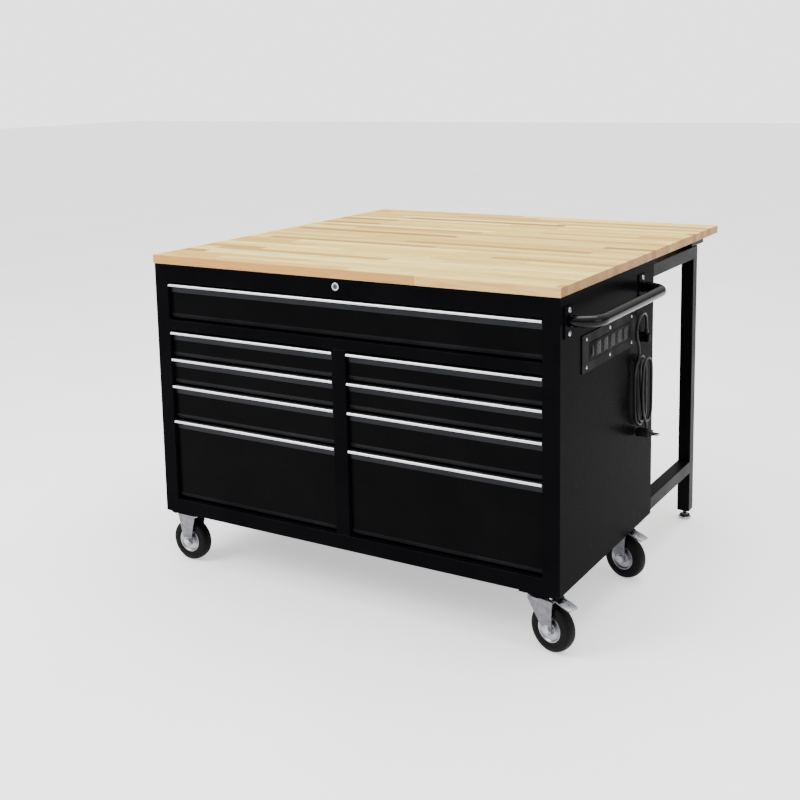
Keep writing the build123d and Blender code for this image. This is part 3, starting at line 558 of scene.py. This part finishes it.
def make_pull(node):
    """The pull's outline drawn out along its length, with the plate under the shelf in a darker aluminium as
    painted shade.
    """
    low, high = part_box(node)
    bm = bmesh.new()
    outline = pull_outline()
    rings = [[bm.verts.new((x, low.y + y * MM, high.z + z * MM)) for y, z in outline]
             for x in (low.x, high.x)]
    count = len(outline)
    for k in range(count):
        n = (k + 1) % count
        face = bm.faces.new((rings[0][k], rings[0][n], rings[1][n], rings[1][k]))
        # faces of the plate under the shelf take the second material, a painted shade
        if min(outline[k][0], outline[n][0]) > SHADED_FROM and k < count - 1:
            face.material_index = 1
    bm.faces.new(rings[0][::-1])
    bm.faces.new(rings[1])
    bmesh.ops.recalc_face_normals(bm, faces=bm.faces)
    body = node[:-len("_pull")]
    made = piece(f"{body}_grip", mesh_of("grip", bm, 30), body, "pull", (node,))
    made.data.materials.append(MATERIALS["pull_painted_shade"])


for name in [n for n in NODES if n.endswith("_pull")]:
    make_pull(name)


# ---------------------------------------------------------------- screws, bolts and nuts
def hex_prism(bm, centre, axis, flat, low, high, chamfer=0.0008):
    """A six-sided nut or bolt head between two heights along an axis, with its outer corners turned off."""
    corner = flat / math.cos(math.pi / 6)
    profile = [(0, low), (corner, low), (corner, high - chamfer), (flat * 0.96, high), (0, high)]
    turned(bm, profile, centre, axis, 6)


def pan_head(name, radius, height):
    """A domed screw head with a cross recess, lying on X = 0 and facing +X."""
    bm = bmesh.new()
    profile = [(0, 0), (radius, 0), (radius, height * 0.25)]
    profile += [(radius * math.cos(a), height * (0.25 + 0.75 * math.sin(a))) for a in (0.35, 0.7, 1.05, 1.35)]
    profile.append((0, height))
    turned(bm, profile, (0, 0, 0), (1, 0, 0), 32)
    bmesh.ops.recalc_face_normals(bm, faces=bm.faces)
    cutter = bmesh.new()
    arm, width = radius * 0.62, radius * 0.13
    corners = [(width, arm), (width, width), (arm, width), (arm, -width), (width, -width), (width, -arm)]
    corners += [(-y, -z) for y, z in corners]
    ends = [[cutter.verts.new((x, a, b)) for a, b in corners] for x in (height * 0.35, height + 0.001)]
    for k in range(len(corners)):
        n = (k + 1) % len(corners)
        cutter.faces.new((ends[0][k], ends[0][n], ends[1][n], ends[1][k]))
    cutter.faces.new(ends[0])
    cutter.faces.new(ends[1][::-1])
    bmesh.ops.recalc_face_normals(cutter, faces=cutter.faces)
    made = cut(mesh_of(name, bm, smooth=False), mesh_of(name + "_cutter", cutter, smooth=False))
    made.shade_smooth()
    made.set_sharp_from_angle(angle=math.radians(40))
    return made


def scatter(name, mesh, places):
    """Copies of one mesh at several places, each given its own small turn, joined into one mesh."""
    bm = bmesh.new()
    for index, place in enumerate(places):
        copy = mesh.copy()
        copy.transform(Matrix.Translation(place) @ Matrix.Rotation(0.7 * index + 0.3, 4, "X"))
        bm.from_mesh(copy)
        bpy.data.meshes.remove(copy)
    return mesh_of(name, bm, 40)


def make_screws():
    """The screws of the power strip's plate and of the handle's brackets."""
    low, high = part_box("power_strip_plate")
    spots = [Vector((high.x, y, z)) for y in (low.y + 0.029, (low.y + high.y) / 2, high.y - 0.029)
             for z in (low.z + 0.013, high.z - 0.013)]
    screws = scatter("plate_screws", pan_head("plate_screw", 0.0045, 0.0022), spots)
    piece("plate_screws", screws, "case", "zinc", ("fasteners",))
    low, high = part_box("handle_brackets")
    spots = [Vector((high.x, y, z)) for y in (low.y + 0.026, high.y - 0.026)
             for z in (high.z - 0.010, high.z - 0.069)]
    screws = scatter("bracket_screws", pan_head("bracket_screw", 0.0072, 0.0040), spots)
    piece("bracket_screws", screws, "case", "zinc")


def make_caster_bolts():
    """A washer and a hexagon head under each corner of every caster plate."""
    under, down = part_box("caster_plates")[1].z - 0.004, (0, 0, -1)
    places = [(x + dx, y + dy) for x in (-590, 590) for y in (41, 560)
              for dx in (-39.5, 39.5) for dy in (-29.5, 29.5)]
    bm = bmesh.new()
    for x, y in places:
        spot = placed(x, y, 0)
        spot.z = under
        disc(bm, 0.0062, 0, 0.0009, spot, down, 24)
        hex_prism(bm, spot, down, 0.0046, 0.0009, 0.0048, 0.0006)
    bmesh.ops.recalc_face_normals(bm, faces=bm.faces)
    piece("caster_bolts", mesh_of("caster_bolts", bm, 30), "case", "zinc")


WHEELS = [(end, side) for end in ("front", "rear") for side in ("left", "right")]


def axle(end, side):
    """The middle of a wheel and the direction of its axle."""
    low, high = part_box(f"tyre_{end}_{side}")
    return (low + high) / 2, Vector(JOINTS[f"{end}_{side}_wheel_spin"]["axis"])


def make_axle_nuts():
    """Washer and lock nut over each end of every axle."""
    groups = {body: bmesh.new() for body in ("case", "front_swivel", "rear_swivel")}
    for end, side in WHEELS:
        centre, axis = axle(end, side)
        bm = groups["case" if side == "left" else f"{end}_swivel"]
        for sign in (-1, 1):
            disc(bm, 0.0135, 0.0270, 0.0282, centre, axis * sign, 40)
            hex_prism(bm, centre, axis * sign, 0.0103, 0.0282, 0.0324, 0.0010)
    for body, bm in groups.items():
        bmesh.ops.recalc_face_normals(bm, faces=bm.faces)
        piece(f"axle_nuts_{body}", mesh_of("axle_nuts", bm, 30), body, "zinc")


def make_pedal_treads():
    """A ribbed plate on top of each brake pedal."""
    for end in ("front", "rear"):
        joint = JOINTS[f"{end}_brake_press"]
        across = Vector(joint["axis"]).normalized()
        out = across.cross(Vector((0, 0, 1)))
        seat = Matrix((out, across, Vector((0, 0, 1)))).transposed().to_4x4()
        seat.translation = Vector(joint["pos_m"])
        slope = math.atan2(9.5, 31.0)
        bm = bmesh.new()
        rounded_box(bm, (-0.0165, -0.0175, -0.0002), (0.0148, 0.0175, 0.0014), 0.0006, 2)
        for k in range(6):
            x = -0.0140 + 0.0046 * k
            rounded_box(bm, (x, -0.0158, 0.0008), (x + 0.0018, 0.0158, 0.0027), 0.0005, 2)
        mesh = mesh_of("pedal_tread", bm, 30)
        mesh.transform(seat @ Matrix.Translation((0.0440, 0, -0.0016)) @ Matrix.Rotation(slope, 4, "Y"))
        piece(f"pedal_tread_{end}", mesh, f"{end}_brake", "zinc")


def make_foot_nuts():
    """The lock nut on each levelling foot's stem, and the metal band round its pad."""
    band = [(0.0199, 0.0004), (0.0204, 0.0012), (0.0200, 0.0070), (0.0188, 0.0082), (0.0180, 0.0082)]
    for side in ("left", "right"):
        low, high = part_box(f"foot_{side}")
        spot = ((low.x + high.x) / 2, (low.y + high.y) / 2, 0)
        bm = bmesh.new()
        hex_prism(bm, spot, (0, 0, 1), 0.0092, 0.0140, 0.0176, 0.0007)
        turned(bm, band, spot, (0, 0, 1), 48)
        bmesh.ops.recalc_face_normals(bm, faces=bm.faces)
        piece(f"foot_nut_{side}", mesh_of("foot_nut", bm, 30), f"{side}_foot", "zinc")


make_screws()
make_caster_bolts()
make_axle_nuts()
make_pedal_treads()
make_foot_nuts()


# ---------------------------------------------------------------- power strip
def face_block(bm, centre, depths, half_y, half_z, radius):
    """A rounded block on a face across X, from one depth to the other along X."""
    (back, front), half = depths, Vector((0, half_y, half_z))
    rounded_box(bm, centre - half + Vector((back, 0, 0)), centre + half + Vector((front, 0, 0)), radius)


def make_outlets(centres):
    """Raised pads, each with two slots for flat pins and a round hole for the third."""
    pads, holes = bmesh.new(), bmesh.new()
    for centre in centres:
        face_block(pads, centre, (-0.004, 0), 0.0165, 0.0175, 0.0012)
        for dz, height in ((0.0063, 0.0040), (-0.0063, 0.0034)):
            bmesh.ops.create_cube(holes, size=1, matrix=Matrix.Translation(centre + Vector((0, 0.003, dz)))
                                  @ Matrix.Diagonal((0.016, height * 2, 0.0017, 1)))
        disc(holes, 0.0024, -0.008, 0.002, centre - Vector((0, 0.0085, 0)), (1, 0, 0), 20)
    bmesh.ops.recalc_face_normals(holes, faces=holes.faces)
    made = cut(mesh_of("outlet_faces", pads), mesh_of("outlet_holes", holes, smooth=False))
    made.shade_smooth()
    made.set_sharp_from_angle(angle=math.radians(30))
    piece("power_strip_outlets", made, "case", "outlet")


def make_strip():
    """A long moulded body with a rocker switch and five three-pin outlets."""
    low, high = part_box("power_strip")
    start = Vector((high.x, low.y, (low.z + high.z) / 2))
    bm = bmesh.new()
    rounded_box(bm, low, (high.x - 0.0008, high.y, high.z), 0.0022, 4)
    piece("power_strip_body", mesh_of("power_strip_body", bm), "case", "plastic", ("power_strip",))
    make_outlets([start + Vector((0, 0.062 + 0.050 * k, 0)) for k in range(5)])
    bm = bmesh.new()
    switch = start + Vector((0, 0.020, 0))
    face_block(bm, switch, (-0.004, 0.0002), 0.0085, 0.0140, 0.0010)
    face_block(bm, switch, (-0.003, 0.0018), 0.0062, 0.0112, 0.0016)
    piece("power_strip_switch", mesh_of("power_strip_switch", bm), "case", "outlet")


make_strip()


# ---------------------------------------------------------------- wheels
TYRE_RADIUS, TYRE_HALF_WIDTH, RIM_RADIUS = 0.0635, 0.019, 0.0365
# how far each point of the sidewall is out from the rim, and in from the tyre's side
SIDEWALL = [(0.0, 0.003), (0.001, 0.0012), (0.004, 0.0004), (0.009, 0.0002), (0.0095, 0.0009),
            (0.0105, 0.0009), (0.011, 0.0002)]
# how far each point of the shoulder is in from the tread, and in from the tyre's side
SHOULDER = [(0.0090, 0.0006), (0.0055, 0.0018), (0.0022, 0.005), (0.0008, 0.010), (0.0002, 0.0155)]
HUB_FACE = [(0.0065, 0.0228), (0.0128, 0.0228), (0.0136, 0.0220), (0.0140, 0.0150), (0.0155, 0.0134),
            (0.0190, 0.0130), (0.0270, 0.0134), (0.0305, 0.0144), (0.0325, 0.0164), (0.0340, 0.0174),
            (0.0358, 0.0173), (0.0364, 0.0164), (0.0365, 0.0140)]


def both_sides(bm, half, centre, axis, steps):
    """Turn half a profile and its mirror image, joined to one closed ring."""
    whole = half + [(radius, -height) for radius, height in reversed(half) if height]
    turned(bm, whole + whole[:1], centre, axis, steps)
    bmesh.ops.remove_doubles(bm, verts=bm.verts, dist=1e-6)


def make_wheel(end, side):
    """A tyre with a grooved sidewall, on a dished hub."""
    centre, axis = axle(end, side)
    tyre = [(RIM_RADIUS + out, TYRE_HALF_WIDTH - inwards) for out, inwards in SIDEWALL]
    tyre += [(TYRE_RADIUS - under, TYRE_HALF_WIDTH - inwards) for under, inwards in SHOULDER]
    tyre += [(TYRE_RADIUS, 0.0012), (TYRE_RADIUS, 0.0)]
    bm = bmesh.new()
    both_sides(bm, tyre, centre, axis, 96)
    mesh = mesh_of("tread", bm, 50)
    piece(f"tread_{end}_{side}", mesh, f"{end}_{side}_wheel", "rubber", (f"tyre_{end}_{side}",))
    bm = bmesh.new()
    both_sides(bm, HUB_FACE, centre, axis, 80)
    bmesh.ops.recalc_face_normals(bm, faces=bm.faces)
    mesh = mesh_of("disc", bm, 40)
    piece(f"disc_{end}_{side}", mesh, f"{end}_{side}_wheel", "hub", (f"hub_{end}_{side}",))


for end, side in WHEELS:
    make_wheel(end, side)


# ---------------------------------------------------------------- floor, sky and lamps
def make_floor():
    """A wide pale floor that glows a little, so that it stays light all over."""
    bm = bmesh.new()
    bmesh.ops.create_grid(bm, x_segments=1, y_segments=1, size=30)
    floor = bpy.data.objects.new("floor", mesh_of("floor", bm, smooth=False))
    bpy.context.scene.collection.objects.link(floor)
    g = Graph("floor")
    cloud = g.noise(g.place, 1.5, 4.0)
    tint = g.ramp(cloud, [(0.3, colour(232, 232, 233)), (0.7, colour(238, 238, 239))])
    grain = g.bump(g.noise(g.place, 300, 2.0), 0.1, 0.0002)
    floor.data.materials.append(g.done(tint, g.spread(cloud, 0.55, 0.7), grain,
                                       Emission_Color=(1, 1, 1, 1), Emission_Strength=0.72))


def make_sky():
    """White where the camera sees it; what it lights gets less light from lower down."""
    world = bpy.data.worlds.new("studio")
    world.use_nodes = True
    tree = world.node_tree
    add, link = tree.nodes.new, tree.links.new
    background, direction = tree.nodes["Background"], add("ShaderNodeSeparateXYZ")
    link(add("ShaderNodeTexCoord").outputs["Generated"], direction.inputs[0])
    sky = add("ShaderNodeValToRGB")
    link(direction.outputs["Z"], sky.inputs["Fac"])
    elements = sky.color_ramp.elements
    stops = (elements[0], elements[1], elements.new(0.4))
    for element, (height, level) in zip(stops, ((0.05, 0.10), (1.0, 1.0), (0.4, 0.35))):
        element.position, element.color = height, (level, level, level, 1)
    seen = add("ShaderNodeMix")
    seen.data_type = "RGBA"
    link(add("ShaderNodeLightPath").outputs["Is Camera Ray"], seen.inputs[0])
    link(sky.outputs["Color"], seen.inputs[6])
    seen.inputs[7].default_value = (1, 1, 1, 1)
    link(seen.outputs[2], background.inputs["Color"])
    background.inputs["Strength"].default_value = 2.6
    bpy.context.scene.world = world


LAMPS = [("key", (-2.6, -3.4, 3.6), (0, -0.2, 0.6), 2.4, 230, (1, 0.98, 0.95)),
         ("top", (0.2, 0.3, 3.8), (0, 0, 0.9), 2.6, 150, (1, 1, 1)),
         ("side", (4.0, -0.6, 1.9), (0.6, 0, 0.5), 1.8, 30, (0.96, 0.98, 1))]


def make_lamps():
    """Soft square lamps, each with its place, the point it is aimed at, its size, power and tint."""
    for name, place, aim, size, power, tint in LAMPS:
        lamp = bpy.data.lights.new(name, "AREA")
        lamp.shape, lamp.size, lamp.energy, lamp.color = "SQUARE", size, power, tint
        obj = bpy.data.objects.new(name, lamp)
        obj.location = place
        obj.rotation_mode = "QUATERNION"
        obj.rotation_quaternion = (Vector(aim) - Vector(place)).to_track_quat("-Z", "Y")
        bpy.context.scene.collection.objects.link(obj)


make_floor()
make_sky()
make_lamps()
